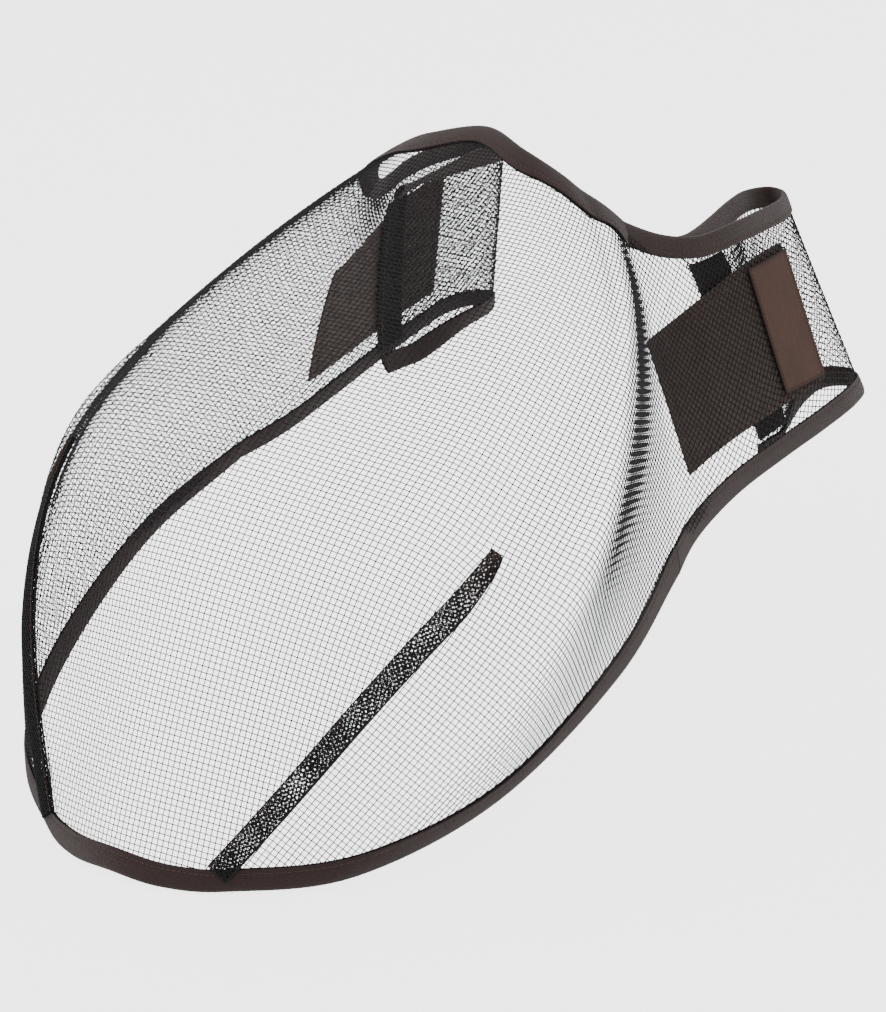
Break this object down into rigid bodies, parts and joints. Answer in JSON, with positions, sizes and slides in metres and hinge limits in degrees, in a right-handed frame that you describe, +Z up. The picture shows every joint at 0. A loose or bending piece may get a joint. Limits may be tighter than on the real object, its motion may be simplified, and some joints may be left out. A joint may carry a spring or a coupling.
{
  "type": "horse half fly mask",
  "caption": "Half face fly mask of open mesh for a horse, with eye darts, bound edges and side straps that turn back on hook-and-loop to wrap bridle cheekpieces.",
  "frame": {"origin": "mid-point between the tips of the two eye darts, inside the mask", "axes": "+Z up, the mask faces -Y, +X is the horse's left; the mask is symmetric about X = 0 except for its label"},
  "size_m": [0.2852, 0.4191, 0.2617],
  "materials": {
    "mesh": "matt open weave of coated yarn",
    "binding": "matt woven tape",
    "dart_fold": "several mesh layers",
    "loop": "brushed loop pile",
    "hook": "stiff hook tape",
    "leather": "smooth, semi-matt",
    "thread": "matt thread"
  },
  "bodies": {
    "face": {"face_mesh": "mesh", "nose_binding": "binding", "forehead_binding": "binding", "nose_binding_stitching": "thread", "forehead_binding_stitching": "thread", "eye_dart_left": "dart_fold", "eye_dart_right": "dart_fold", "dart_bartack_left": "thread", "dart_bartack_right": "thread"},
    "left_strap": {"strap_mesh_left": "mesh", "strap_top_binding_left": "binding", "strap_lower_binding_left": "binding", "strap_stitching_left": "thread", "loop_patch_left": "loop", "leather_label": "leather", "label_stitching": "thread"},
    "left_strap_end": {"strap_end_mesh_left": "mesh", "strap_end_top_binding_left": "binding", "strap_end_lower_binding_left": "binding", "strap_end_stitching_left": "thread", "hook_strip_left": "hook"},
    "right_strap": {"strap_mesh_right": "mesh", "strap_top_binding_right": "binding", "strap_lower_binding_right": "binding", "strap_stitching_right": "thread", "loop_patch_right": "loop"},
    "right_strap_end": {"strap_end_mesh_right": "mesh", "strap_end_top_binding_right": "binding", "strap_end_lower_binding_right": "binding", "strap_end_stitching_right": "thread", "hook_strip_right": "hook"}
  },
  "joints": [
    {"name": "left_strap_swing", "type": "hinge", "parent": "face", "child": "left_strap", "pos_m": [0.096, 0.1345, 0.0255], "axis": [-0.3586, 0.2369, 0.9029], "range_deg": [-12, 15]},
    {"name": "left_end_peel", "type": "hinge", "parent": "left_strap", "child": "left_strap_end", "pos_m": [0.09928, 0.2789, 0.03851], "axis": [0.2846, 0.2755, -0.9182], "range_deg": [0, 40]},
    {"name": "right_strap_swing", "type": "hinge", "parent": "face", "child": "right_strap", "pos_m": [-0.096, 0.1345, 0.0255], "axis": [-0.3586, -0.2369, -0.9029], "range_deg": [-12, 15]},
    {"name": "right_end_peel", "type": "hinge", "parent": "right_strap", "child": "right_strap_end", "pos_m": [-0.09928, 0.2789, 0.03851], "axis": [0.2846, -0.2755, 0.9182], "range_deg": [0, 40]}
  ]
}
